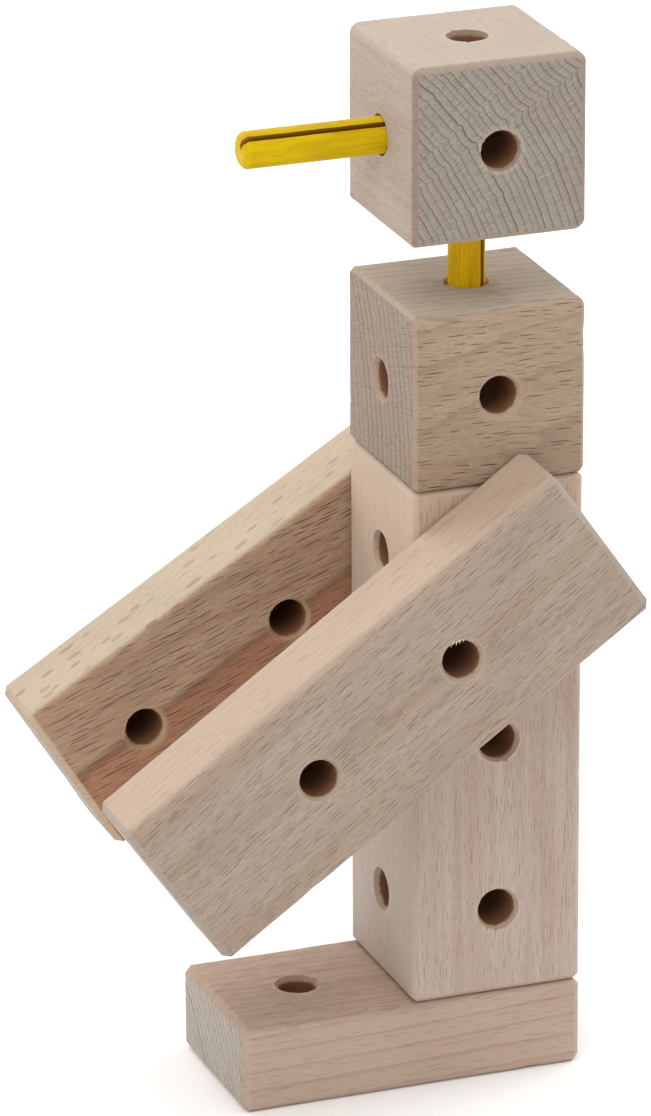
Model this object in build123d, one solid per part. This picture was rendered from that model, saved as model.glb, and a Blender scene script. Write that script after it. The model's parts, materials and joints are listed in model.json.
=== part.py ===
"""A bird figure put together from a wooden block-and-peg construction set.

Every block is a whole number of units long and carries peg sockets at half-unit places.
Slotted dowels join the blocks, so each block turns on its peg, and pegs pull out.

Frame: millimetres, +Z up, origin on the floor under the body's vertical axis.
The bird looks along -Y, and its left wing is on the +X side.
"""

from build123d import *
import os

# Driving dimensions
UNIT = 30.0            # edge of the set's cube
PLATE = UNIT / 2       # thickness of the foot and of a wing
PEG_RADIUS = 3.10
BORE_RADIUS = 3.15     # a peg turns and slides in it with 0.05 mm of clearance all round
NECK_GAP = 11.5        # bare neck peg between chest and head
BEAK_REACH = 24.0      # bare beak peg in front of the head
WING_GAP = 0.2         # play between a wing and the body's side
LEFT_PITCH = 35.0      # how far each wing's tip hangs below level, in degrees
RIGHT_PITCH = 32.0

# Edges and sockets
GRAIN_ROUND = 2.0      # rounding of the long edges, which run with the grain
END_CHAMFER = 1.1      # bevel round the two end-grain faces
RIM = 0.6              # countersink at each socket's mouth
BLIND_DEPTH = 11.5     # depth of a socket in a plate

# Pegs
SHORT_PEG = 22.0
LONG_PEG = 35.0
SEAT = SHORT_PEG / 2   # how deep a short peg sits in each block
PEG_BEVEL = 0.8
KERF_WIDTH = 0.8       # saw cut along the peg, which lets it close a little in its socket
KERF_DEPTH = 2.4
BEAK_KERF_ANGLE = 51.0     # direction of the cut, above level on the left side
NECK_KERF_ANGLE = 36.0     # direction of the cut, from the left side towards the back

# Heights
FOOT_TOP = PLATE
BODY_TOP = FOOT_TOP + 3 * UNIT
CHEST_TOP = BODY_TOP + UNIT
HEAD_BASE = CHEST_TOP + NECK_GAP
CHEST_MIDDLE = BODY_TOP + UNIT / 2
HEAD_MIDDLE = HEAD_BASE + UNIT / 2
BODY_SOCKETS = [FOOT_TOP + UNIT / 2 + step * UNIT for step in range(3)]
WING_PIVOT = BODY_SOCKETS[-1]

# Places along the plates
FOOT_FRONT = -1.5 * UNIT
TOE_SOCKET = FOOT_FRONT + UNIT / 2
SOLE_SOCKET = FOOT_FRONT + UNIT
WING_INNER_SOCKETS = [0.0, -UNIT, -2 * UNIT]      # measured from the pivot towards the tip
WING_OUTER_SOCKETS = [-UNIT / 2, -1.5 * UNIT]
WING_MIDDLE = -UNIT

FRONT, BACK = (0, -1, 0), (0, 1, 0)
LEFT, RIGHT = (1, 0, 0), (-1, 0, 0)
UP, DOWN = (0, 0, 1), (0, 0, -1)


def block(size_x, size_y, size_z, grain):
    """A planed block centred on the origin, rounded along its grain and bevelled at its ends."""
    solid = Box(size_x, size_y, size_z)
    solid = fillet(solid.edges().filter_by(grain), GRAIN_ROUND)
    faces = solid.faces().sort_by(grain)
    return chamfer(faces[0].edges() + faces[-1].edges(), END_CHAMFER)


def socket(mouth, inward, depth):
    """The space of a blind socket: its bore and the countersink at its mouth."""
    upright = (Align.CENTER, Align.CENTER, Align.MIN)
    bore = Cylinder(BORE_RADIUS, depth, align=upright)
    sink = Cone(BORE_RADIUS + RIM, BORE_RADIUS, RIM, align=upright)
    return Plane(origin=mouth, z_dir=inward) * (bore + sink)


def through(centre, direction):
    """The space of a socket that crosses a whole unit, countersunk at both mouths."""
    mouths = [Vector(centre) + Vector(direction) * (UNIT / 2) * side for side in (-1, 1)]
    return [
        socket(mouths[0], Vector(direction), UNIT / 2),
        socket(mouths[1], -Vector(direction), UNIT / 2),
    ]


def peg(start, direction, length, kerf_direction):
    """A dowel bevelled at both ends, with a saw cut along one side."""
    rod = Cylinder(PEG_RADIUS, length, align=(Align.CENTER, Align.CENTER, Align.MIN))
    rod = chamfer(rod.edges().filter_by(GeomType.CIRCLE), PEG_BEVEL)
    kerf = Box(
        PEG_RADIUS, KERF_WIDTH, length, align=(Align.MIN, Align.CENTER, Align.MIN)
    )
    rod -= Pos(PEG_RADIUS - KERF_DEPTH, 0, 0) * kerf
    return Plane(origin=start, x_dir=kerf_direction, z_dir=direction) * rod


def tilted(angle, first, second):
    """The direction at an angle from the first axis towards the second."""
    return Vector(first).rotate(Axis((0, 0, 0), Vector(first).cross(Vector(second))), angle)


def foot_block():
    """Two units long, under the body and reaching forward as the bird's toes."""
    plate = Pos(0, FOOT_FRONT + UNIT, PLATE / 2) * block(UNIT, 2 * UNIT, PLATE, Axis.Y)
    plate -= socket((0, TOE_SOCKET, FOOT_TOP), DOWN, BLIND_DEPTH)
    plate -= socket((0, 0, FOOT_TOP), DOWN, SEAT)
    plate -= socket((0, SOLE_SOCKET, 0), UP, BLIND_DEPTH)
    return plate


def body_block():
    """Three units tall, with a cross of sockets in each unit and one in each end."""
    pillar = Pos(0, 0, FOOT_TOP + 1.5 * UNIT) * block(UNIT, UNIT, 3 * UNIT, Axis.Z)
    for height in BODY_SOCKETS:
        for direction in (LEFT, BACK):
            pillar -= through((0, 0, height), direction)
    pillar -= socket((0, 0, FOOT_TOP), UP, UNIT / 2)
    pillar -= socket((0, 0, BODY_TOP), DOWN, UNIT / 2)
    return pillar


def cube(middle, grain):
    """A one-unit block bored through along all three axes."""
    solid = Pos(0, 0, middle) * block(UNIT, UNIT, UNIT, grain)
    for direction in (LEFT, BACK, UP):
        solid -= through((0, 0, middle), direction)
    return solid


def wing(side, pitch):
    """A three-unit plate. Its inner face has three sockets, and its outer face two between them."""
    inner = -side * PLATE / 2
    plate = Pos(0, WING_MIDDLE, 0) * block(PLATE, 3 * UNIT, UNIT, Axis.Y)
    for place in WING_INNER_SOCKETS:
        plate -= socket((inner, place, 0), (side, 0, 0), BLIND_DEPTH)
    for place in WING_OUTER_SOCKETS:
        plate -= socket((-inner, place, 0), (-side, 0, 0), BLIND_DEPTH)
    offset = side * (UNIT / 2 + WING_GAP + PLATE / 2)
    return Pos(offset, 0, WING_PIVOT) * Rot(X=pitch) * plate


def wing_peg(side):
    """Joins a wing to the body's top socket, sunk the same depth in each."""
    inner_end = (side * (UNIT / 2 - SEAT), 0, WING_PIVOT)
    return peg(inner_end, (side, 0, 0), SHORT_PEG + WING_GAP, UP)


def neck_peg():
    """Sunk equally in the chest and the head, bare between them."""
    start = (0, 0, CHEST_TOP - (LONG_PEG - NECK_GAP) / 2)
    return peg(start, UP, LONG_PEG, tilted(NECK_KERF_ANGLE, LEFT, BACK))


def beak_peg():
    """Pushed into the head's front socket."""
    inner_end = (0, -UNIT / 2 - BEAK_REACH + LONG_PEG, HEAD_MIDDLE)
    return peg(inner_end, FRONT, LONG_PEG, tilted(BEAK_KERF_ANGLE, LEFT, UP))


SIDES = {"left": 1, "right": -1}
PITCHES = {"left": LEFT_PITCH, "right": RIGHT_PITCH}

nodes = {
    "foot_block": foot_block(),
    "foot_peg": peg((0, 0, FOOT_TOP - SEAT), UP, SHORT_PEG, LEFT),
    "body_block": body_block(),
    "chest_peg": peg((0, 0, BODY_TOP - SEAT), UP, SHORT_PEG, LEFT),
    "chest_block": cube(CHEST_MIDDLE, Axis.Y),
    "neck_peg": neck_peg(),
    "head_block": cube(HEAD_MIDDLE, Axis.X),
    "beak_peg": beak_peg(),
}
for name, side in SIDES.items():
    nodes[f"{name}_wing"] = wing(side, PITCHES[name])
    nodes[f"{name}_wing_peg"] = wing_peg(side)

os.makedirs("parts", exist_ok=True)
for name, solid in nodes.items():
    export_step(solid, f"parts/{name}.step")
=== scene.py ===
"""Looks of the block-and-peg bird: planed beech blocks with sanded edges and torn socket rims,
yellow stained pegs with a saw cut, a pale floor and soft studio light."""

import json
import math
from collections import namedtuple
from dataclasses import dataclass
from types import SimpleNamespace

import bpy
import numpy as np
from mathutils import Matrix, Vector, noise


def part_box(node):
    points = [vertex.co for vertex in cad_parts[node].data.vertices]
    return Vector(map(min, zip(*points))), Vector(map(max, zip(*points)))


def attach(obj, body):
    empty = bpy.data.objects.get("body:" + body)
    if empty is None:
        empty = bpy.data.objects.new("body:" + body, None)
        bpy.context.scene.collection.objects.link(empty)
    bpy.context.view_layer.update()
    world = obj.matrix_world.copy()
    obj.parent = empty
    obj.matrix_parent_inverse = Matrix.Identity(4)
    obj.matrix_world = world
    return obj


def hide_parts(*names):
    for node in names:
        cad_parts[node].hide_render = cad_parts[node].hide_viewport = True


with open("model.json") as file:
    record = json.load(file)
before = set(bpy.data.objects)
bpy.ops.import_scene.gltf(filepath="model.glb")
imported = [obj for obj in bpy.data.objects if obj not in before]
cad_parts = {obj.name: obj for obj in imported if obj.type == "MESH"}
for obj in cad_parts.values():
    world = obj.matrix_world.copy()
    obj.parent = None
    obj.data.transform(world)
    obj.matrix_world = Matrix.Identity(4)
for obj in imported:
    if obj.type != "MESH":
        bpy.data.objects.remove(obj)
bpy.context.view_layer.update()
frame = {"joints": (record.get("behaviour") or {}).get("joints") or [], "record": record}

# Blocks
MM = 0.001
UNIT = 30 * MM               # edge of the set's cube
PLATE = UNIT / 2             # thickness of the foot and of a wing
ROUND = 2.0 * MM             # most rounding of an edge that runs with the grain
SHARPEST = 0.15 * MM         # least rounding of any edge
FOOT_BEVEL = 1.1 * MM        # bevels round the end grain
BODY_BEVEL = 0.8 * MM
BODY_RUBBED = 1.1 * MM       # how far in from the body's ends its wood is rubbed
CHEST_BEVEL = 0.75 * MM
HEAD_BEVEL = 0.95 * MM
WING_BEVEL = 1.05 * MM
SOFT = 0.1 * MM              # blending of a bevel into the faces beside it
GRID = 0.75 * MM             # spacing of a block's vertices
DENTS = 9                    # on each block's edges

# Sockets
BORE = 3.15 * MM             # radius
RIM = 0.55 * MM              # widening at the mouth
HEAD_RIM = 0.3 * MM          # the same on the head, which was countersunk less
RIM_DEPTH = 1.1 * MM         # how far down that widening reaches
BLIND = 11.5 * MM            # depth in a plate
SEAT = 11 * MM               # depth of the one that holds the foot's own peg
DRILL_STEPS = 72             # vertices round the wall
OVER = 0.5 * MM              # how far a cutting shape reaches past what it cuts

# Pegs
PEG = 3.1 * MM               # radius
PEG_BEVEL = 0.8 * MM
PEG_STEPS = 64               # vertices round it
KERF_WIDTH = 0.95 * MM       # of the saw cut along it
KERF_DEPTH = 2.4 * MM
NECK_KERF = 36.0             # direction of the neck peg's cut, from the left side to the back
BEAK_KERF = 51.0             # direction of the beak peg's cut, above level
STAIN = (214, 182, 0)        # the pegs' two tones of yellow, as a screen shows them
DEEP_STAIN = (194, 160, 0)
# The neck peg's yellows, brighter and oranger than the other pegs': painted light that offsets the shade
# under the head.
NECK_STAIN_PAINTED_LIGHT = (232, 186, 6)
DEEP_NECK_STAIN_PAINTED_LIGHT = (214, 168, 4)

# Splinters
FIBRES = 16                  # torn up in one socket
FIBRE_ROWS = 4               # rings of vertices along one fibre
FIBRE_SAG = 0.15 * MM        # how far a fibre's tip bends back into the socket

# Camera and light
AZIMUTH = 69.7               # degrees from the bird's front towards its left
ELEVATION = 20.5
ROLL = -0.25
DISTANCE = 40.8 * UNIT
AIM_HEIGHT = 2.9 * UNIT
AIM_LEFT = 0.77 * UNIT       # how far to the picture's left of the body's axis the camera aims
LENS = 239.5                 # millimetres, on a sensor 36 mm wide
FLOOR_REACH = 6.0            # metres each way from the figure
SOFTBOX_SIZE = 1.0           # metres
SOFTBOX_POWER = 8            # watts
SKY_STRENGTH = 0.75

X, Y, Z = Vector((1, 0, 0)), Vector((0, 1, 0)), Vector((0, 0, 1))

# inward is the way in. open_end is for a socket that goes right through.
Socket = namedtuple("Socket", "mouth inward depth open_end")


# ---------------------------------------------------------------- the frame's places

def middle(node):
    low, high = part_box(node)
    return (low + high) / 2


def named(rows, name):
    """Where the frame's mount or joint of that name is."""
    found = [row for row in rows if row["name"] == name]
    return Vector(found[0]["pos_m"])


def mount_place(name):
    return named(frame["record"]["mounts"], name)


def joint_place(name):
    return named(frame["joints"], name)


def wing_direction(side):
    """The way a wing points, from its pivot to its tip."""
    upper = mount_place(f"{side}_wing_outer_upper_socket")
    lower = mount_place(f"{side}_wing_outer_lower_socket")
    return (lower - upper).normalized()


# ---------------------------------------------------------------- meshes

def new_object(name, vertices, faces, materials, face_material=0):
    mesh = bpy.data.meshes.new(name)
    mesh.from_pydata([tuple(v) for v in vertices], [], faces)
    for material in materials:
        mesh.materials.append(material)
    mesh.polygons.foreach_set("material_index", [face_material] * len(mesh.polygons))
    mesh.update()
    obj = bpy.data.objects.new(name, mesh)
    bpy.context.scene.collection.objects.link(obj)
    return obj


def spaced(start, stop, step):
    """Evenly spaced values from start to stop, both included, about a step apart."""
    return np.linspace(start, stop, max(2, int(round(abs(stop - start) / step)) + 1))


def ring_faces(first, rows, around):
    """Faces between closed rings of vertices, numbered ring after ring from first."""
    faces = []
    for row in range(rows - 1):
        low, high = first + row * around, first + (row + 1) * around
        for column in range(around):
            after = (column + 1) % around
            faces.append((low + column, low + after, high + after, high + column))
    return faces


def profile_side(half_width, half_height, turn, radii, inset):
    """One side of a rounded rectangle, from the middle of one corner's arc to the middle of the
    next. turn is 0 for the bottom side, 1 right, 2 top, 3 left. radii are its two corners'."""
    first, second = [max(radius - inset, SHARPEST) for radius in radii]
    left, right, low = inset - half_width, half_width - inset, inset - half_height
    half_arc = np.linspace(0, math.pi / 4, 5)
    points = [(left + first * (1 - math.sin(a)), low + first * (1 - math.cos(a))) for a in half_arc[::-1]]
    count = round(2 * (half_width - ROUND) / GRID) + 1
    points += [(place, low) for place in np.linspace(left + first, right - second, count)[1:-1]]
    points += [(right - second * (1 - math.sin(a)), low + second * (1 - math.cos(a))) for a in half_arc]
    quarter = np.array([[0, 1], [-1, 0]])
    return np.array(points) @ np.linalg.matrix_power(quarter, turn)


def rounded_profile(width, height, radii, inset):
    """The four sides of a rounded rectangle. radii go round from its lower left corner."""
    halves = [(width / 2, height / 2), (height / 2, width / 2)] * 2
    return [
        profile_side(w, h, turn, (radii[turn], radii[(turn + 1) % 4]), inset)
        for turn, (w, h) in enumerate(halves)
    ]


def end_stations(length, bevel):
    """Places along the grain, each with how far the profile is drawn in there."""
    end = [(0, bevel + SOFT), (SOFT * 0.3, bevel), (bevel * 0.5, bevel * 0.53)]
    end += [(bevel, SOFT * 0.35), (bevel + SOFT * 1.5, 0), (bevel + SOFT * 3, 0)]
    inside = [(place, 0) for place in spaced(end[-1][0], length - end[-1][0], GRID)[1:-1]]
    return end + inside + [(length - place, inset) for place, inset in end[::-1]]


def filled_end(ring_of_side, vertices):
    """Adds the inside vertices of an end face, whose border is the end ring's own vertices.
    Returns a grid of all its vertex indices."""
    bottom, right, top, left = ring_of_side
    rows, columns = len(right), len(bottom)
    grid = np.zeros((rows, columns), int)
    grid[0, :], grid[:, -1] = bottom, right
    grid[-1, :], grid[:, 0] = top[::-1], left[::-1]
    spot = np.array(vertices)
    for i in range(1, rows - 1):
        for j in range(1, columns - 1):
            u, v = j / (columns - 1), i / (rows - 1)
            upright = (1 - v) * spot[grid[0, j]] + v * spot[grid[-1, j]]
            level = (1 - u) * spot[grid[i, 0]] + u * spot[grid[i, -1]]
            low = (1 - u) * spot[grid[0, 0]] + u * spot[grid[0, -1]]
            high = (1 - u) * spot[grid[-1, 0]] + u * spot[grid[-1, -1]]
            vertices.append(tuple(upright + level - (1 - v) * low - v * high))
            grid[i, j] = len(vertices) - 1
    return grid


def grid_faces(grid, flipped):
    """The faces of a grid of vertex indices."""
    faces = []
    for i in range(len(grid) - 1):
        for j in range(len(grid[0]) - 1):
            face = (grid[i, j], grid[i, j + 1], grid[i + 1, j + 1], grid[i + 1, j])
            faces.append(tuple(int(k) for k in (face[::-1] if flipped else face)))
    return faces


def block_surface(size, radii, bevel, seed):
    """Vertices and faces of one worn block. Local x and y cross the grain, z runs along it."""
    width, height, length = size
    vertices = []
    stations = end_stations(length, bevel)
    for place, inset in stations:
        sides = rounded_profile(width, height, radii, inset)
        vertices += [(x, y, place - length / 2) for side in sides for x, y in side[:-1]]
    lengths = [len(side) for side in sides]
    around = sum(lengths) - 4
    faces = ring_faces(0, len(stations), around)
    starts = np.cumsum([0] + [count - 1 for count in lengths])
    last = len(stations) - 1
    for base, flipped in ((0, True), (last * around, False)):
        rings = [[base + (starts[k] + step) % around for step in range(lengths[k])] for k in range(4)]
        faces += grid_faces(filled_end(rings, vertices), flipped)
    return wear(vertices, tuple(side / 2 for side in size), seed), faces


def edge_nearness(point, half):
    """0 on a face's middle, 1 on a long edge or an end edge."""
    gaps = sorted(half[k] - abs(point[k]) for k in range(3))
    return max(0.0, 1 - gaps[1] / ROUND)


def edge_dents(half, randoms):
    """Knocks on a block's edges: the place, radius and depth of each."""
    dents = []
    for _ in range(DENTS):
        place = Vector([randoms.uniform(-1, 1) * h for h in half])
        for axis in randoms.choice(3, 2, replace=False):
            place[int(axis)] = math.copysign(half[int(axis)], place[int(axis)])
        dents.append((place, randoms.uniform(0.6, 1.5) * MM, randoms.uniform(0.08, 0.26) * MM))
    return dents


def wear(vertices, half, seed):
    """Planing waves, uneven sanding of the edges and a few small dents, all inward."""
    dents = edge_dents(half, np.random.default_rng(seed))
    shift = Vector((seed * 7.3, seed * 3.1, seed * 5.7))
    worn = []
    for vertex in vertices:
        point = Vector(vertex)
        inward = -Vector([
            point[k] / half[k] if half[k] - abs(point[k]) < ROUND else 0 for k in range(3)
        ])
        if inward.length > 0:
            inward.normalize()
        broad = 0.5 + 0.5 * noise.noise(point / (9 * MM) + shift)
        fine = 0.5 + 0.5 * noise.noise(point / (1.7 * MM) + shift)
        edge = edge_nearness(point, half)
        depth = 0.03 * MM * broad + edge * (0.12 * broad + 0.04 * fine) * MM
        for place, radius, deep in dents:
            depth += deep * math.exp(-((point - place).length / radius) ** 2)
        worn.append(point + inward * depth)
    return worn


def drill_profile(depth, open_end, rim):
    """Places down a socket, each with its radius there."""
    wide = BORE + rim
    mouth = [(-OVER, wide + OVER), (0, wide), (RIM_DEPTH * 0.4, BORE + rim * 0.55)]
    mouth += [(RIM_DEPTH * 0.8, BORE + rim * 0.12), (RIM_DEPTH, BORE)]
    stop = depth - RIM_DEPTH if open_end else depth
    wall = [(place, BORE) for place in spaced(RIM_DEPTH, stop, 0.6 * MM)[1:-1]]
    if open_end:
        return mouth + wall + [(depth - place, radius) for place, radius in mouth[::-1]]
    corner = 0.15 * MM
    return mouth + wall + [(depth - corner, BORE), (depth, BORE - corner), (depth, BORE * 0.5)]


def tear(angle, place, phase, near_mouth, end_grain):
    """How far a socket's wall is out of true, in millimetres. Its rim tears along the grain."""
    spot = Vector((math.cos(angle) * 2.2, math.sin(angle) * 2.2, phase))
    ragged = noise.noise(spot * 1.1 + Vector((0, 0, place / MM * 0.3)))
    torn = max(0.0, noise.noise(spot * 3.1)) ** 1.5
    with_grain = 0.35 if end_grain else math.cos(angle) ** 4
    wall = 0.025 * noise.noise(spot * 2.0 + Vector((0, 0, place / MM * 1.4)))
    return wall + near_mouth * (0.13 * ragged + torn * (0.18 + 0.85 * with_grain))


def drill(socket, grain, rim, seed, materials):
    """The solid that a drill and a countersink remove, with fibres torn out along the grain."""
    inward = socket.inward.normalized()
    end_grain = abs(inward.dot(grain)) > 0.9
    across = inward.cross(inward.orthogonal() if end_grain else grain).normalized()
    along = across.cross(inward)
    phase = np.random.default_rng(seed).uniform(0, 100)
    profile = drill_profile(socket.depth, socket.open_end, rim)
    vertices = []
    for place, radius in profile:
        from_mouth = min(place, socket.depth - place) if socket.open_end else place
        near_mouth = max(0.0, 1 - max(from_mouth, 0) / RIM_DEPTH)
        for step in range(DRILL_STEPS):
            angle = 2 * math.pi * step / DRILL_STEPS
            extra = tear(angle, place, phase, near_mouth, end_grain)
            reach = max(radius + extra * MM, 0)
            direction = along * math.cos(angle) + across * math.sin(angle)
            vertices.append(socket.mouth + inward * place + direction * reach)
    faces = ring_faces(0, len(profile), DRILL_STEPS)
    last = (len(profile) - 1) * DRILL_STEPS
    faces.append(tuple(range(DRILL_STEPS))[::-1])
    faces.append(tuple(last + step for step in range(DRILL_STEPS)))
    return new_object("drill", vertices, faces, materials, 1)


def cut(obj, tools):
    """Takes the tools' space out of obj for good."""
    for tool in tools:
        modifier = obj.modifiers.new("cut", "BOOLEAN")
        modifier.operation = "DIFFERENCE"
        modifier.solver = "MANIFOLD"
        modifier.object = tool
    bpy.context.view_layer.update()
    graph = bpy.context.evaluated_depsgraph_get()
    mesh = bpy.data.meshes.new_from_object(obj.evaluated_get(graph))
    obj.modifiers.clear()
    obj.data = mesh
    mesh.name = obj.name
    for tool in tools:
        bpy.data.objects.remove(tool)


def soften(obj, angle=32):
    """Smooth shading, with edges sharper than an angle kept crisp."""
    obj.data.polygons.foreach_set("use_smooth", [True] * len(obj.data.polygons))
    obj.data.set_sharp_from_angle(angle=math.radians(angle))
    obj.data.update()


def finish_piece(obj, node):
    """Rides on the node's body, and stands for the node."""
    owner = [body for body, members in frame["record"]["behaviour"]["bodies"].items() if node in members]
    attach(obj, owner[0])
    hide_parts(node)


# ---------------------------------------------------------------- shader nodes

class Graph:
    """Short names for the shader nodes of one material."""

    def __init__(self, name):
        self.material = bpy.data.materials.new(name)
        self.material.use_nodes = True
        self.tree = self.material.node_tree
        self.tree.nodes.clear()

    def node(self, kind, *values, **settings):
        made = self.tree.nodes.new(kind)
        for key, value in settings.items():
            setattr(made, key, value)
        for index, value in enumerate(values):
            self.feed(made.inputs[index], value)
        return made

    def feed(self, socket, value):
        if isinstance(value, bpy.types.NodeSocket):
            self.tree.links.new(value, socket)
        else:
            socket.default_value = value

    def math(self, operation, *values):
        return self.node("ShaderNodeMath", *values, operation=operation).outputs[0]

    def vector(self, operation, *values):
        made = self.node("ShaderNodeVectorMath", *values, operation=operation)
        return made.outputs["Value" if operation in ("DOT_PRODUCT", "LENGTH") else "Vector"]

    def join(self, x, y, z):
        return self.node("ShaderNodeCombineXYZ", x, y, z).outputs[0]

    def noise(self, place, detail=2.0, roughness=0.5, scale=1.0):
        made = self.node("ShaderNodeTexNoise", noise_dimensions="3D")
        self.feed(made.inputs["Vector"], place)
        made.inputs["Scale"].default_value = scale
        made.inputs["Detail"].default_value = detail
        made.inputs["Roughness"].default_value = roughness
        return made.outputs["Fac"]

    def step(self, value, low, high, start=0.0, stop=1.0):
        """A smooth rise from start to stop as value goes from low to high."""
        made = self.node("ShaderNodeMapRange", value, low, high, start, stop)
        made.interpolation_type = "SMOOTHSTEP"
        return made.outputs[0]

    def mix(self, factor, first, second):
        made = self.node("ShaderNodeMix", data_type="RGBA")
        self.feed(made.inputs["Factor"], factor)
        for name, value in (("A", first), ("B", second)):
            socket = [s for s in made.inputs if s.name == name and s.type == "RGBA"][0]
            self.feed(socket, value)
        return [s for s in made.outputs if s.type == "RGBA"][0]

    def surface(self, colour, rough, height, bump, specular):
        """The finished material. bump is how deep the height's whole range is, in metres."""
        shader = self.node("ShaderNodeBsdfPrincipled")
        self.feed(shader.inputs["Base Color"], colour)
        self.feed(shader.inputs["Roughness"], rough)
        shader.inputs["Specular IOR Level"].default_value = specular
        raised = self.node("ShaderNodeBump")
        raised.inputs["Strength"].default_value = 1.0
        raised.inputs["Distance"].default_value = bump
        self.feed(raised.inputs["Height"], height)
        self.feed(shader.inputs["Normal"], raised.outputs[0])
        out = self.node("ShaderNodeOutputMaterial")
        self.tree.links.new(shader.outputs[0], out.inputs["Surface"])
        return self.material


def srgb(red, green, blue):
    """A colour given as a screen shows it, 0 to 255, for a shader socket."""
    def linear(value):
        value /= 255
        return value / 12.92 if value <= 0.04045 else ((value + 0.055) / 1.055) ** 2.4
    return (linear(red), linear(green), linear(blue), 1.0)


def millimetres(g, centre):
    """Where a point of the piece is, in millimetres from the piece's middle."""
    place = g.vector("SUBTRACT", g.node("ShaderNodeTexCoord").outputs["Object"], tuple(centre))
    return g.vector("MULTIPLY", place, (1 / MM,) * 3)


def scaled(g, place, sizes, offset=0.0):
    """A texture vector that repeats about every so many millimetres each way."""
    parts = [g.math("MULTIPLY_ADD", v, 1 / size, offset) for v, size in zip(place, sizes)]
    return g.join(*parts)


def centred(g, value, amount):
    """A noise value moved to swing about zero by some amount."""
    return g.math("MULTIPLY", g.math("SUBTRACT", value, 0.5), amount)


# ---------------------------------------------------------------- beech

@dataclass
class Beech:
    """One block and its wood. Places, size, bevel and rubbed are in metres, as the frame is.
    Other measures are in millimetres, and strengths go from 0 to 1."""
    name: str
    centre: Vector
    along: Vector                    # the way the grain runs
    across: Vector
    size: tuple                      # of the block: across, the third way, and along
    pith: tuple                      # the block's middle, across and up from the tree's pith
    tones: dict                      # light, shade, flank, end, ring, dash, blotch, bevel and torn
    sockets: list
    bevel: float                     # round the end grain
    seed: float
    rubbed: float = None             # reach of the rubbed wood at an end, if that isn't the bevel
    lean: tuple = (0, 0)             # how far the tree's axis leans from along, two ways
    ring: float = 1.7                # width of a ring
    sway: float = 1.6                # waviness of the rings
    rings_on_sides: float = 0.3      # strength
    dashes: float = 0.8              # strength of the small rays
    dash_cell: tuple = (0.75, 4.2)   # their spacing round the pith and along the grain
    dash_size: tuple = (0.065, 1.4)  # their half size, the same two ways
    blotches: float = 0.5            # strength of the large rays
    streaks: float = 0.26            # strength of the fibres
    kink: tuple = None               # a fault in the rings: place, depth, radii it grows between
    heart: tuple = None              # a heartwood edge: place the third way, softness and tone
    drift: tuple = None              # a change of tone: start and end along the grain, and tone

    @property
    def third(self):
        return self.along.cross(self.across)


def wood_space(g, place, along, across, pith, lean):
    """Millimetres from the tree's pith: two numbers across the grain and one along it.
    Also the two directions across the grain. lean is how far the tree's axis leans from along."""
    along = (along + across * lean[0] + along.cross(across) * lean[1]).normalized()
    across = (across - along * across.dot(along)).normalized()
    up = along.cross(across)
    x = g.math("ADD", g.vector("DOT_PRODUCT", place, tuple(across)), pith[0])
    y = g.math("ADD", g.vector("DOT_PRODUCT", place, tuple(up)), pith[1])
    z = g.vector("DOT_PRODUCT", place, tuple(along))
    return x, y, z, across, up


def rays(g, place, cell, size, share, seed):
    """Thin sheets scattered one to a cell. place, cell and size are outward from the pith,
    round it and along the grain, in millimetres. share is how many of the cells have one."""
    spot = scaled(g, place, cell, seed)
    near = g.node("ShaderNodeTexVoronoi", feature="F1")
    g.feed(near.inputs["Vector"], spot)
    near.inputs["Scale"].default_value = 1.0
    near.inputs["Randomness"].default_value = 0.85
    away = g.vector("SUBTRACT", spot, near.outputs["Position"])
    away = g.vector("MULTIPLY", away, tuple(c / s for c, s in zip(cell, size)))
    chance = g.node("ShaderNodeSeparateColor", near.outputs["Color"])
    long = g.math("MULTIPLY_ADD", chance.outputs[1], 0.7, 0.65)
    distance = g.math("DIVIDE", g.vector("LENGTH", away), long)
    kept = g.step(chance.outputs[0], 1 - share, 1.1 - share)
    kept = g.math("MULTIPLY", kept, g.math("MULTIPLY_ADD", chance.outputs[2], 0.35, 0.65))
    return g.math("MULTIPLY", g.step(distance, 0.6, 1.1, 1.0, 0.0), kept)


def cusps(g, turn, seed):
    """Sharp dips of the rings where they meet a large ray, in millimetres."""
    near = g.node("ShaderNodeTexVoronoi", voronoi_dimensions="1D", feature="F1")
    g.feed(near.inputs["W"], g.math("MULTIPLY_ADD", turn, 1 / 4.5, seed))
    near.inputs["Scale"].default_value = 1.0
    depth = g.node("ShaderNodeSeparateColor", near.outputs["Color"]).outputs[0]
    dip = g.math("EXPONENT", g.math("MULTIPLY", near.outputs["Distance"], -7.0))
    return g.math("MULTIPLY", g.math("MULTIPLY", dip, depth), 0.45)


def fault(g, turn, radius, place, depth, start, stop):
    """One deep dip of the rings, along a single ray. It deepens from start to stop."""
    away = g.math("ABSOLUTE", g.math("SUBTRACT", turn, place))
    dip = g.math("EXPONENT", g.math("MULTIPLY", away, -1.9))
    return g.math("MULTIPLY", dip, g.step(radius, start, stop, 0.1 * depth, depth))


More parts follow.
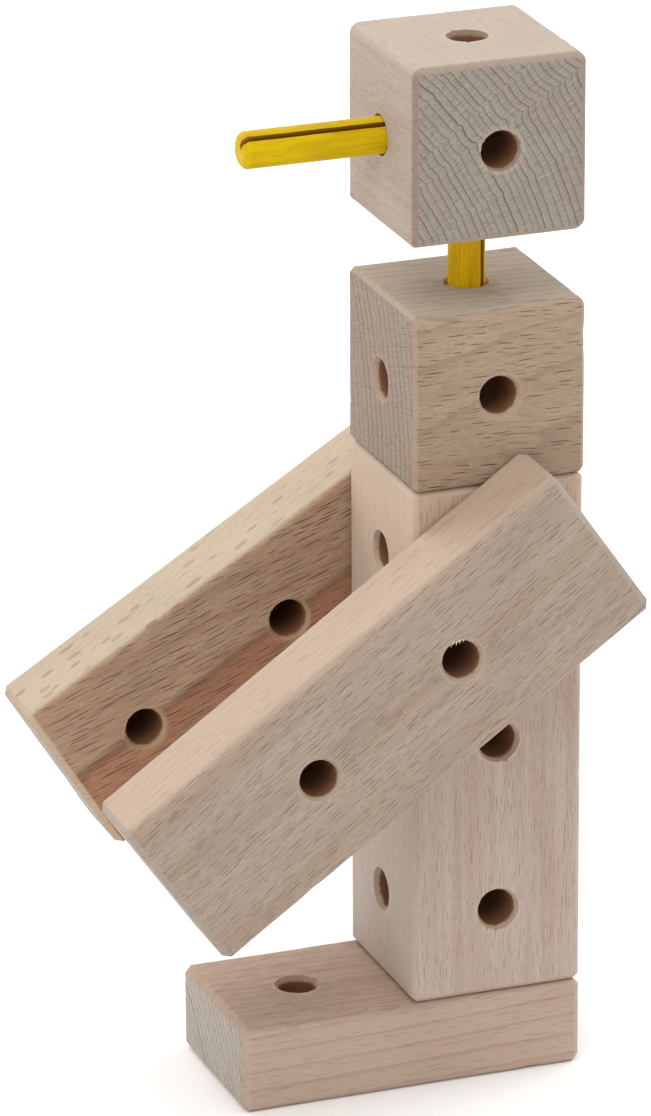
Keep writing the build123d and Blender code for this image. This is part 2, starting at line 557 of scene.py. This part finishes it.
def growth_rings(g, wood, space, radius, turn):
    """How dark the rings are, from 0 to about 1."""
    warp = centred(g, g.noise(scaled(g, space, (24, 24, 70), wood.seed), 1), wood.sway)
    ripple = g.noise(scaled(g, space, (2.0, 2.0, 20), wood.seed), 2)
    warp = g.math("ADD", warp, centred(g, ripple, 0.3))
    widths = g.noise(scaled(g, (radius, 0.0, 0.0), (4, 1, 1), wood.seed), 1)
    warp = g.math("ADD", warp, centred(g, widths, 2.0))
    warp = g.math("SUBTRACT", warp, cusps(g, turn, wood.seed))
    if wood.kink:
        warp = g.math("SUBTRACT", warp, fault(g, turn, radius, *wood.kink))
    phase = g.math("DIVIDE", g.math("ADD", radius, warp), wood.ring)
    part = g.math("FRACT", phase)
    strength = g.node("ShaderNodeTexWhiteNoise", noise_dimensions="1D")
    g.feed(strength.inputs["W"], g.math("FLOOR", phase))
    strength = g.math("MULTIPLY_ADD", strength.outputs["Value"], 0.5, 0.6)
    stop = g.step(part, 0.965, 1.0, 1.0, 0.0)
    late = g.math("MULTIPLY", g.step(part, 0.76, 0.93), stop)
    summer = g.math("MULTIPLY", g.step(part, 0.2, 0.95), stop)
    line = g.math("MULTIPLY_ADD", summer, 0.22, g.math("MULTIPLY", late, 0.85))
    return g.math("MULTIPLY", line, strength)


def grain_patterns(g, wood, place):
    """The wood's own patterns: rings, rays, fibres, pores and broad changes of tone."""
    x, y, z, first, second = wood_space(g, place, wood.along, wood.across, wood.pith, wood.lean)
    space = (x, y, z)
    seed = wood.seed
    radius = g.vector("LENGTH", g.join(x, y, 0.0))
    turn = g.math("SUBTRACT", g.math("ARCTAN2", y, x), math.atan2(wood.pith[1], wood.pith[0]))
    turn = g.math("MULTIPLY", turn, math.hypot(*wood.pith))
    fibre = g.noise(scaled(g, space, (0.22, 0.22, 5.0), seed), 3, 0.65)
    swayed = g.math("ADD", turn, centred(g, g.noise(scaled(g, space, (4, 4, 9), seed), 1), 0.9))
    swayed = g.math("ADD", swayed, centred(g, fibre, 0.05))
    polar = (radius, swayed, z)
    return SimpleNamespace(
        x=x, y=y, first=first, second=second, radius=radius, fibre=fibre,
        line=growth_rings(g, wood, space, radius, turn),
        small=rays(g, polar, (22, *wood.dash_cell), (30, *wood.dash_size), 0.7, seed),
        large=rays(g, polar, (2.8, 1.5, 4.6), (0.56, 0.65, 1.45), 0.75, seed + 3),
        pore=g.noise(scaled(g, space, (0.17, 0.17, 0.9), seed + 5), 2, 0.6),
        spokes=g.noise(scaled(g, (radius, turn, z), (3.0, 0.2, 3.0), seed + 6), 2, 0.6),
        band=g.noise(scaled(g, space, (2.4, 2.4, 60), seed + 9), 2, 0.55),
        smudge=g.noise(scaled(g, space, (13, 13, 22), seed + 7), 2, 0.5),
    )


def facing_of(g, wood, place, grain):
    """Which way the surface cuts the wood, as values from 0 to 1. quartered is on faces that
    follow the rays, flank on those that face the third way, and calm is lower on the flanks."""
    normal = g.node("ShaderNodeTexCoord").outputs["Normal"]
    outward = g.math("MULTIPLY", g.vector("DOT_PRODUCT", normal, tuple(grain.second)), grain.x)
    sideways = g.math("MULTIPLY", g.vector("DOT_PRODUCT", normal, tuple(grain.first)), grain.y)
    quartered = g.math("DIVIDE", g.math("SUBTRACT", outward, sideways), grain.radius)
    tilt = g.math("ABSOLUTE", g.vector("DOT_PRODUCT", normal, tuple(wood.third)))
    flank = g.step(tilt, 0.55, 0.95)
    reach = g.math("ABSOLUTE", g.vector("DOT_PRODUCT", place, tuple(wood.along)))
    depth = g.math("SUBTRACT", wood.size[2] / MM / 2, reach)
    end = g.step(depth, 0.08, 0.16, 1.0, 0.0)
    rubbed = (wood.rubbed or wood.bevel) / MM
    sloped = g.step(depth, rubbed - 0.12, rubbed + 0.08, 1.0, 0.0)
    return SimpleNamespace(
        quartered=g.step(g.math("ABSOLUTE", quartered), 0.55, 0.9),
        tilt=tilt,
        flank=flank,
        calm=g.math("MULTIPLY_ADD", flank, -0.6, 1.0),
        end=end,
        bevel=g.math("SUBTRACT", sloped, end),
    )


def heartwood(g, wood, place, band, calm, side):
    """Red wood on one side of an edge, and a dark fringe along that edge."""
    edge, softness, red = wood.heart
    spot = g.math("ADD", g.vector("DOT_PRODUCT", place, tuple(wood.third)), centred(g, band, 2.5))
    reddened = g.step(spot, edge - softness, edge + softness, 1.0, 0.0)
    side = g.mix(g.math("MULTIPLY", reddened, calm), side, red)
    fringe = g.step(spot, edge - 2 * softness, edge)
    fringe = g.math("MULTIPLY", fringe, g.step(spot, edge, edge + 2 * softness, 0.4, 0.0))
    return g.mix(fringe, side, wood.tones["dash"])


def side_colour(g, wood, place, grain, facing):
    """A planed side: bands, rings, fibres, pores, dashes and blotches."""
    tones = wood.tones
    banded = g.math("MULTIPLY", g.step(grain.band, 0.3, 0.7), facing.calm)
    side = g.mix(banded, tones["light"], tones["shade"])
    side = g.mix(g.math("MULTIPLY", facing.flank, 0.85), side, tones["flank"])
    if wood.drift:
        start, stop, drifted = wood.drift
        place_along = g.vector("DOT_PRODUCT", place, tuple(wood.along))
        side = g.mix(g.step(place_along, start, stop, 0.0, 0.6), side, drifted)
    if wood.heart:
        side = heartwood(g, wood, place, grain.band, facing.calm, side)
    side = g.mix(g.math("MULTIPLY", grain.line, wood.rings_on_sides), side, tones["dash"])
    dashes = g.math("MULTIPLY_ADD", facing.quartered, -0.75 * wood.dashes, wood.dashes)
    for pattern in (
        g.step(grain.fibre, 0.38, 0.7, 0.0, wood.streaks),
        g.step(grain.pore, 0.4, 0.68, 0.0, 0.16),
        g.math("MULTIPLY", grain.small, dashes),
    ):
        side = g.mix(g.math("MULTIPLY", pattern, facing.calm), side, tones["dash"])
    blotch = g.math("MULTIPLY", grain.large, g.math("MULTIPLY", facing.quartered, wood.blotches))
    return g.mix(blotch, side, tones["blotch"])


def end_colour(g, tones, grain):
    """The end grain: rings, with dark and pale rays across them."""
    pitted = g.mix(0.4, tones["end"], tones["ring"])
    end = g.mix(g.step(grain.pore, 0.35, 0.65), tones["end"], pitted)
    end = g.mix(g.step(grain.spokes, 0.5, 0.68, 0.0, 0.45), end, tones["ring"])
    end = g.mix(grain.line, end, tones["ring"])
    return g.mix(g.step(grain.spokes, 0.3, 0.42, 0.35, 0.0), end, tones["torn"])


def torn_halo(g, place, centre, sockets):
    """1 on the roughened wood just round each socket's mouth, 0 elsewhere."""
    mouths = [socket.mouth for socket in sockets]
    mouths += [s.mouth + s.inward * s.depth for s in sockets if s.open_end]
    nearest = 100.0
    for mouth in mouths:
        away = g.vector("SUBTRACT", place, tuple((mouth - centre) / MM))
        nearest = g.math("MINIMUM", g.vector("LENGTH", away), nearest)
    ragged = centred(g, g.noise(place, 2, 0.6, scale=1.6), 1.6)
    edge = (BORE + RIM) / MM
    return g.step(g.math("ADD", nearest, ragged), edge, edge + 0.7, 1.0, 0.0)


def beech(wood):
    """Planed beech: rings round the pith, ray dashes and blotches on the sides, fine rays across
    the end grain, and rubbed bevels between."""
    g = Graph(wood.name)
    tones = wood.tones
    place = millimetres(g, wood.centre)
    grain = grain_patterns(g, wood, place)
    facing = facing_of(g, wood, place, grain)
    side = side_colour(g, wood, place, grain, facing)
    colour = g.mix(facing.end, side, end_colour(g, tones, grain))
    rubbed = g.mix(g.step(facing.tilt, 0.3, 0.7, 0.0, 0.45), tones["bevel"], tones["light"])
    colour = g.mix(g.math("MULTIPLY", facing.bevel, 0.75), colour, rubbed)
    colour = g.mix(g.step(grain.smudge, 0.35, 0.75, 0.0, 0.1), colour, tones["dash"])
    halo = torn_halo(g, place, wood.centre, wood.sockets)
    colour = g.mix(g.math("MULTIPLY", halo, 0.3), colour, tones["torn"])

    height = g.math("MULTIPLY_ADD", grain.fibre, 0.5, g.math("MULTIPLY", grain.pore, 0.35))
    height = g.math("SUBTRACT", height, g.math("MULTIPLY", grain.small, 0.7))
    grooves = g.math("MULTIPLY", grain.line, g.math("MULTIPLY", facing.end, 0.45))
    height = g.math("SUBTRACT", height, grooves)
    rough = g.math("MULTIPLY_ADD", grain.fibre, 0.18, 0.56)
    return g.surface(colour, rough, height, 0.06 * MM, 0.3)


def bored_wood(name, wood, pale):
    """The torn wall of a drilled socket: pale where it is countersunk, and brown with dark fluff further
    in, which is painted shade inside the socket.
    """
    g = Graph(name)
    place = millimetres(g, wood.centre)
    gaps = []
    for axis, whole in zip((wood.across, wood.third, wood.along), wood.size):
        reach = g.math("ABSOLUTE", g.vector("DOT_PRODUCT", place, tuple(axis)))
        gaps.append(g.math("SUBTRACT", whole / MM / 2, reach))
    depth = g.math("MINIMUM", g.math("MINIMUM", gaps[0], gaps[1]), gaps[2])
    coarse = g.noise(place, 3, 0.6, scale=0.9)
    fluff = g.noise(place, 4, 0.7, scale=4.0)
    ragged = g.math("ADD", depth, centred(g, coarse, 0.9))
    # Painted shade: below the countersink the wall turns brown, standing for the shade inside the socket.
    inside = g.step(ragged, 0.65, 1.15)
    brown = srgb(150, 107, 79)
    tone = g.mix(inside, pale, brown)
    # Painted shade: dark patches of fluff, stronger further into the socket.
    painted_socket_shade = g.math("MULTIPLY", g.step(fluff, 0.42, 0.62), g.math("MULTIPLY_ADD", inside, 0.35, 0.15))
    tone = g.mix(painted_socket_shade, tone, g.mix(0.5, brown, srgb(66, 40, 27)))
    return g.surface(tone, 0.9, fluff, 0.3 * MM, 0.1)


# ---------------------------------------------------------------- blocks

def place_matrix(wood):
    """From a block's own axes, where z runs with the grain, to the frame."""
    turned = Matrix((wood.across, wood.third, wood.along)).transposed().to_4x4()
    return Matrix.Translation(wood.centre) @ turned


def make_block(node, wood, seed, pale, radii, rim=RIM):
    """A worn block with its sockets. pale is the tone of their rims. radii are of the edges along
    the grain, in millimetres, going round from the low corner of both ways across."""
    # The second material is the sockets' walls, with painted shade inside them.
    materials = [beech(wood), bored_wood(f"{node}_bores_with_painted_shade", wood, pale)]
    vertices, faces = block_surface(wood.size, [radius * MM for radius in radii], wood.bevel, seed)
    matrix = place_matrix(wood)
    obj = new_object(f"{node}_wood", [matrix @ v for v in vertices], faces, materials)
    tools = [
        drill(socket, wood.along, rim, seed * 10 + index, materials)
        for index, socket in enumerate(wood.sockets)
    ]
    cut(obj, tools)
    soften(obj)
    finish_piece(obj, node)


def blind(mouth, inward, depth=BLIND):
    return Socket(Vector(mouth), inward, depth, False)


def through(centre, direction):
    """A socket across one unit."""
    return Socket(centre - direction * UNIT / 2, direction, UNIT, True)


def make_foot():
    centre = middle("foot_block")
    top, bottom = centre.z + PLATE / 2, centre.z - PLATE / 2
    toe = mount_place("foot_toe_socket")
    sole = mount_place("foot_sole_socket")
    sockets = [
        blind((toe.x, toe.y, top), -Z),
        blind((0, 0, top), -Z, SEAT),
        blind((sole.x, sole.y, bottom), Z),
    ]
    tones = dict(light=srgb(189, 166, 147), shade=srgb(182, 157, 138), flank=srgb(186, 163, 146),
                 end=srgb(186, 177, 166), ring=srgb(128, 112, 98), dash=srgb(112, 74, 54),
                 blotch=srgb(150, 118, 102), bevel=srgb(174, 150, 132), torn=srgb(192, 168, 148))
    wood = Beech("foot_beech", centre, Y, Z, (PLATE, UNIT, 2 * UNIT), (30, 40), tones, sockets,
                 FOOT_BEVEL, seed=11.0, lean=(0.03, 0), rings_on_sides=0.22, dashes=0.6,
                 dash_cell=(0.8, 4.4))
    make_block("foot_block", wood, 1, srgb(196, 168, 142), (1.0, 1.4, 1.2, 1.0))


def make_body():
    low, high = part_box("body_block")
    sockets = []
    for step in range(3):
        spot = Vector((0, 0, low.z + UNIT * (step + 0.5)))
        sockets += [through(spot, X), through(spot, Y)]
    sockets.append(blind((0, 0, low.z), Z, UNIT / 2))
    sockets.append(blind((0, 0, high.z), -Z, UNIT / 2))
    tones = dict(light=srgb(189, 174, 162), shade=srgb(181, 161, 148), flank=srgb(187, 173, 160),
                 end=srgb(178, 170, 160), ring=srgb(128, 114, 102), dash=srgb(134, 100, 78),
                 blotch=srgb(158, 128, 112), bevel=srgb(182, 158, 140), torn=srgb(200, 182, 164))
    wood = Beech("body_beech", middle("body_block"), Z, X, (UNIT, UNIT, 3 * UNIT), (42, -38), tones,
                 sockets, BODY_BEVEL, seed=23.0, rubbed=BODY_RUBBED, lean=(0.01, 0),
                 rings_on_sides=0.08, dashes=0.6, dash_cell=(0.6, 3.2), dash_size=(0.04, 1.3),
                 blotches=0.3, streaks=0.18, drift=(5.0, 40.0, srgb(206, 177, 148)))
    make_block("body_block", wood, 2, srgb(200, 178, 156), (1.6, 1.2, 1.6, 1.6))


def cube_sockets(centre):
    return [through(centre, direction) for direction in (X, Y, Z)]


def make_chest():
    centre = middle("chest_block")
    tones = dict(light=srgb(173, 153, 131), shade=srgb(168, 146, 122), flank=srgb(168, 157, 142),
                 end=srgb(162, 145, 130), ring=srgb(114, 94, 76), dash=srgb(104, 68, 46),
                 blotch=srgb(140, 112, 94), bevel=srgb(170, 144, 124), torn=srgb(184, 164, 144))
    wood = Beech("chest_beech", centre, Y, X, (UNIT, UNIT, UNIT), (67, -17), tones,
                 cube_sockets(centre), CHEST_BEVEL, seed=5.0, lean=(0.075, 0), ring=2.1, sway=0.9,
                 dashes=0.95, dash_cell=(0.75, 4.4), dash_size=(0.07, 1.6))
    make_block("chest_block", wood, 3, srgb(196, 172, 146), (1.4, 1.8, 0.7, 1.2))


def make_head():
    centre = middle("head_block")
    tones = dict(light=srgb(179, 164, 151), shade=srgb(171, 155, 141), flank=srgb(178, 164, 149),
                 end=srgb(160, 154, 143), ring=srgb(112, 90, 76), dash=srgb(132, 98, 78),
                 blotch=srgb(150, 124, 106), bevel=srgb(137, 113, 96), torn=srgb(192, 174, 158))
    wood = Beech("head_beech", centre, X, Y, (UNIT, UNIT, UNIT), (62, 37), tones,
                 cube_sockets(centre), HEAD_BEVEL, seed=2.0, lean=(0.02, 0), ring=1.25, sway=0.8,
                 rings_on_sides=0.1, dashes=0.5, dash_cell=(0.5, 2.6), dash_size=(0.06, 0.7),
                 blotches=0.2, streaks=0.14, kink=(3.2, 1.0, 68.0, 84.0))
    make_block("head_block", wood, 4, srgb(178, 156, 132), (0.7, 1.8, 1.9, 1.9), HEAD_RIM)


def wing_places(side, sign):
    """A wing's middle, the way it points, and its sockets."""
    along = wing_direction(side)
    pivot = joint_place(f"{side}_wing_turn")
    pivot.x = middle(f"{side}_wing").x
    to_face = X * sign * PLATE / 2
    sockets = [blind(pivot + along * UNIT * step - to_face, X * sign) for step in range(3)]
    sockets += [blind(pivot + along * UNIT * step + to_face, -X * sign) for step in (0.5, 1.5)]
    return pivot + along * UNIT, along, sockets


def make_left_wing():
    centre, along, sockets = wing_places("left", 1)
    tones = dict(light=srgb(175, 157, 141), shade=srgb(168, 148, 131), flank=srgb(190, 166, 144),
                 end=srgb(184, 176, 164), ring=srgb(132, 118, 104), dash=srgb(98, 68, 48),
                 blotch=srgb(156, 126, 108), bevel=srgb(162, 150, 138), torn=srgb(186, 168, 150))
    wood = Beech("left_wing_beech", centre, along, X, (PLATE, UNIT, 3 * UNIT), (60, 6), tones,
                 sockets, WING_BEVEL, seed=31.0, lean=(0.02, -0.04), rings_on_sides=0.12,
                 dashes=1.0, dash_cell=(0.6, 3.8), dash_size=(0.04, 1.5), blotches=0.3, streaks=0.18)
    make_block("left_wing", wood, 5, srgb(194, 174, 152), (1.2, 1.0, 1.8, 1.4))


def make_right_wing():
    centre, along, sockets = wing_places("right", -1)
    tones = dict(light=srgb(192, 162, 136), shade=srgb(178, 145, 118), flank=srgb(193, 176, 151),
                 end=srgb(184, 176, 164), ring=srgb(132, 118, 104), dash=srgb(72, 42, 28),
                 blotch=srgb(150, 124, 110), bevel=srgb(190, 168, 142), torn=srgb(186, 158, 134))
    wood = Beech("right_wing_beech", centre, along, X, (PLATE, UNIT, 3 * UNIT), (-44, 10), tones,
                 sockets, WING_BEVEL, seed=47.0, lean=(0.03, 0.19), rings_on_sides=0.1,
                 dashes=1.0, dash_cell=(0.8, 5.2), dash_size=(0.078, 2.2), blotches=0.8,
                 heart=(0.6, 0.8, srgb(176, 129, 99)))
    make_block("right_wing", wood, 6, srgb(196, 162, 128), (1.2, 1.2, 1.0, 1.4))


def torn_fibre(mouth):
    g = Graph("torn_fibre")
    uneven = g.noise(millimetres(g, mouth), 2, 0.5, scale=2.0)
    tone = g.mix(uneven, srgb(226, 214, 196), srgb(240, 232, 220))
    return g.surface(tone, 0.8, 0.5, 0.0, 0.2)


def fibre_vertices(root, lean, length, thick, side, outward):
    """Rings of four round a fibre that bends and thins, and its tip."""
    vertices = []
    for row in range(FIBRE_ROWS):
        share = row / FIBRE_ROWS
        spot = root + lean * length * share - outward * FIBRE_SAG * share ** 2
        for turn in range(4):
            around = math.radians(90 * turn + 20)
            spread = (side * math.cos(around) + outward * math.sin(around) * 0.6) * thick * (1 - share)
            vertices.append(spot + spread)
    return vertices + [root + lean * length - outward * FIBRE_SAG]


def fibre_faces(first):
    """The faces of a fibre whose vertices start at first."""
    top = first + (FIBRE_ROWS - 1) * 4
    tip = top + 4
    faces = [tuple(first + turn for turn in range(4))]
    faces += [face[::-1] for face in ring_faces(first, FIBRE_ROWS, 4)]
    return faces + [(top + (turn + 1) % 4, top + turn, tip) for turn in range(4)]


def splinters(node, mouth, outward, up, seed):
    """A tuft of pale fibres torn up at the top of a socket, lying in its mouth."""
    side = up.cross(outward)
    randoms = np.random.default_rng(seed)
    vertices, faces = [], []
    for _ in range(FIBRES):
        angle = math.radians(randoms.uniform(-38, 30))
        radial = up * math.cos(angle) + side * math.sin(angle)
        root = mouth + radial * (BORE + RIM) - outward * 0.3 * MM
        length = randoms.uniform(0.4, 1.0) * MM
        lean = side * randoms.uniform(-0.9, 0.9) - radial + outward * randoms.uniform(-0.1, 0.25)
        thick = randoms.uniform(0.08, 0.16) * MM
        faces += fibre_faces(len(vertices))
        vertices += fibre_vertices(root, lean, length, thick, side, outward)
    obj = new_object(f"{node}_splinters", vertices, faces, [torn_fibre(mouth)])
    soften(obj, 60)
    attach(obj, node)


def make_splinters():
    """The near wing's upper hole is the one that tore."""
    upper = mount_place("left_wing_outer_upper_socket")
    face = middle("left_wing").x + PLATE / 2
    splinters("left_wing", Vector((face, upper.y, upper.z)), X, Z, 8)


# ---------------------------------------------------------------- pegs

def stained_peg(name, seed, centre, along, light, shade):
    """A dowel soaked in yellow stain, with its grain, dark flecks and rubbed places showing."""
    g = Graph(name)
    across = along.orthogonal().normalized()
    space = wood_space(g, millimetres(g, centre), along, across, (22 + seed, 9), (0.03, 0))[:3]
    fibre = g.noise(scaled(g, space, (0.3, 0.3, 7), seed), 3, 0.6)
    streak = g.noise(scaled(g, space, (0.6, 0.6, 18), seed + 2), 2, 0.6)
    broad = g.noise(scaled(g, space, (2.2, 2.2, 9), seed + 4), 2, 0.5)
    mark = g.noise(scaled(g, space, (0.3, 0.3, 1.9), seed + 8), 1, 0.5)
    speck = g.step(mark, 0.68, 0.76)
    tone = g.mix(g.step(broad, 0.3, 0.75), srgb(*light), srgb(*shade))
    tone = g.mix(g.step(streak, 0.45, 0.68, 0.0, 0.5), tone, srgb(184, 146, 0))
    tone = g.mix(g.step(fibre, 0.4, 0.75, 0.0, 0.4), tone, srgb(196, 154, 0))
    tone = g.mix(g.math("MULTIPLY", speck, 0.4), tone, srgb(128, 90, 0))
    height = g.math("SUBTRACT", g.math("MULTIPLY", fibre, 0.7), speck)
    return g.surface(tone, 0.55, height, 0.05 * MM, 0.12)


def sawn_slot(name):
    """The brown, burnt wall of a saw cut."""
    g = Graph(name)
    ragged = g.noise(millimetres(g, (0, 0, 0)), 3, 0.6, scale=1.6)
    tone = g.mix(ragged, srgb(150, 106, 26), srgb(198, 152, 40))
    return g.surface(tone, 0.85, ragged, 0.1 * MM, 0.1)


def dowel_surface(start, length, along, across, up, seed):
    """Vertices and faces of a turned dowel with softened ends."""
    # places and radii along one end, as shares of the bevel and of the radius
    end = [(0.0, 0.5), (0.02, 0.725), (0.12, 0.775), (0.88, 0.975), (1.05, 1.0)]
    rows = [(place * PEG_BEVEL, share * PEG) for place, share in end]
    rows += [(place, PEG) for place in spaced(rows[-1][0], length - rows[-1][0], 0.7 * MM)[1:-1]]
    rows += [(length - place * PEG_BEVEL, share * PEG) for place, share in end[::-1]]
    vertices = [start]
    for place, radius in rows:
        for step in range(PEG_STEPS):
            angle = 2 * math.pi * step / PEG_STEPS
            spot = Vector((math.cos(angle), math.sin(angle), place / (6 * MM) + seed))
            rough = 0.03 * MM * (0.5 + 0.5 * noise.noise(spot * 1.3)) * radius / PEG
            direction = across * math.cos(angle) + up * math.sin(angle)
            vertices.append(start + along * place + direction * (radius - rough))
    vertices.append(start + along * length)
    faces = ring_faces(1, len(rows), PEG_STEPS)
    top, tip = 1 + (len(rows) - 1) * PEG_STEPS, len(vertices) - 1
    for step in range(PEG_STEPS):
        after = (step + 1) % PEG_STEPS
        faces += [(0, 1 + after, 1 + step), (top + step, top + after, tip)]
    return vertices, faces


def saw(start, length, along, across, up, seed, materials):
    """The slightly wavy space of a saw cut along a peg."""
    places = spaced(-OVER, length + OVER, 0.9 * MM)
    inner, outer = PEG - KERF_DEPTH, PEG + OVER
    vertices = []
    for place in places:
        sway = 0.05 * MM * noise.noise(Vector((place / (5 * MM), seed, 0)))
        half = KERF_WIDTH / 2 + 0.05 * MM * noise.noise(Vector((place / (2.2 * MM), seed, 9)))
        for reach, side in ((inner, -half), (outer, -half), (outer, half), (inner, half)):
            vertices.append(start + along * place + across * reach + up * (side + sway))
    last = (len(places) - 1) * 4
    faces = ring_faces(0, len(places), 4) + [(3, 2, 1, 0), (last, last + 1, last + 2, last + 3)]
    return new_object("saw", vertices, faces, materials, 1)


def make_peg(node, along, kerf, seed, light=STAIN, shade=DEEP_STAIN):
    """A dowel with a saw cut down one side. kerf is the way that side faces."""
    low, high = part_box(node)
    centre = (low + high) / 2
    length = abs((high - low).dot(along))
    across = kerf.normalized()
    axes = (along, across, along.cross(across))
    start = centre - along * length / 2
    materials = [stained_peg(f"{node}_stain", seed, centre, along, light, shade), sawn_slot(f"{node}_slot")]
    vertices, faces = dowel_surface(start, length, *axes, seed)
    obj = new_object(f"{node}_dowel", vertices, faces, materials)
    cut(obj, [saw(start, length, *axes, seed, materials)])
    soften(obj, 40)
    finish_piece(obj, node)


def make_pegs():
    neck_kerf = X * math.cos(math.radians(NECK_KERF)) + Y * math.sin(math.radians(NECK_KERF))
    beak_kerf = X * math.cos(math.radians(BEAK_KERF)) + Z * math.sin(math.radians(BEAK_KERF))
    # The neck peg's brighter yellows are painted light against the shade under the head.
    make_peg("neck_peg", Z, neck_kerf, 1.0, NECK_STAIN_PAINTED_LIGHT, DEEP_NECK_STAIN_PAINTED_LIGHT)
    make_peg("beak_peg", -Y, beak_kerf, 2.0)
    make_peg("foot_peg", Z, X, 3.0)
    make_peg("chest_peg", Z, X, 4.0)
    make_peg("left_wing_peg", X, Z, 5.0)
    make_peg("right_wing_peg", -X, Z, 6.0)


# ---------------------------------------------------------------- room, light and camera

def make_floor():
    g = Graph("pale_floor")
    place = g.node("ShaderNodeTexCoord").outputs["Object"]
    tone = g.mix(g.noise(place, 2, 0.5, scale=3.0), srgb(250, 250, 250), srgb(247, 247, 247))
    material = g.surface(tone, 0.8, 0.5, 0.0, 0.1)
    corners = [(x * FLOOR_REACH, y * FLOOR_REACH, 0) for x, y in ((-1, -1), (1, -1), (1, 1), (-1, 1))]
    floor = new_object("floor", corners, [(0, 1, 2, 3)], [material])


def make_lights():
    """Three soft boxes round the figure, and an even white sky."""
    heart = Vector((0, 0, 3 * UNIT))
    offsets = {
        "key_softbox": Vector((0.6, -0.65, 1.1)),
        "back_softbox": Vector((-0.2, 1.05, 0.7)),
        "far_softbox": Vector((-1.05, -0.3, 0.7)),
    }
    for name, offset in offsets.items():
        light = bpy.data.lights.new(name, "AREA")
        light.shape = "SQUARE"
        light.size = SOFTBOX_SIZE
        light.energy = SOFTBOX_POWER
        obj = bpy.data.objects.new(name, light)
        obj.location = heart + offset
        obj.rotation_euler = (-offset).to_track_quat("-Z", "Y").to_euler()
        bpy.context.scene.collection.objects.link(obj)
    world = bpy.data.worlds.new("studio")
    world.use_nodes = True
    sky = world.node_tree.nodes["Background"]
    sky.inputs["Color"].default_value = (1.0, 1.0, 1.0, 1.0)
    sky.inputs["Strength"].default_value = SKY_STRENGTH
    bpy.context.scene.world = world
    bpy.context.scene.view_settings.view_transform = "Standard"


def make_camera():
    """A long lens, above and to the bird's left front."""
    azimuth, elevation, roll = [math.radians(angle) for angle in (AZIMUTH, ELEVATION, ROLL)]
    level = Vector((math.sin(azimuth), -math.cos(azimuth), 0))
    back = level * math.cos(elevation) + Z * math.sin(elevation)
    right = Vector((math.cos(azimuth), math.sin(azimuth), 0))
    up = back.cross(right)
    aim = Z * AIM_HEIGHT - right * AIM_LEFT
    data = bpy.data.cameras.new("camera")
    data.sensor_width = 36
    data.lens = LENS
    data.clip_end = 50
    tilted_right = right * math.cos(roll) + up * math.sin(roll)
    tilted_up = up * math.cos(roll) - right * math.sin(roll)
    camera = bpy.data.objects.new("camera", data)
    turned = Matrix((tilted_right, tilted_up, back)).transposed().to_4x4()
    camera.matrix_world = Matrix.Translation(aim + back * DISTANCE) @ turned
    bpy.context.scene.collection.objects.link(camera)
    bpy.context.scene.camera = camera


make_camera()
make_foot()
make_body()
make_chest()
make_head()
make_left_wing()
make_right_wing()
make_splinters()
make_pegs()
make_floor()
make_lights()
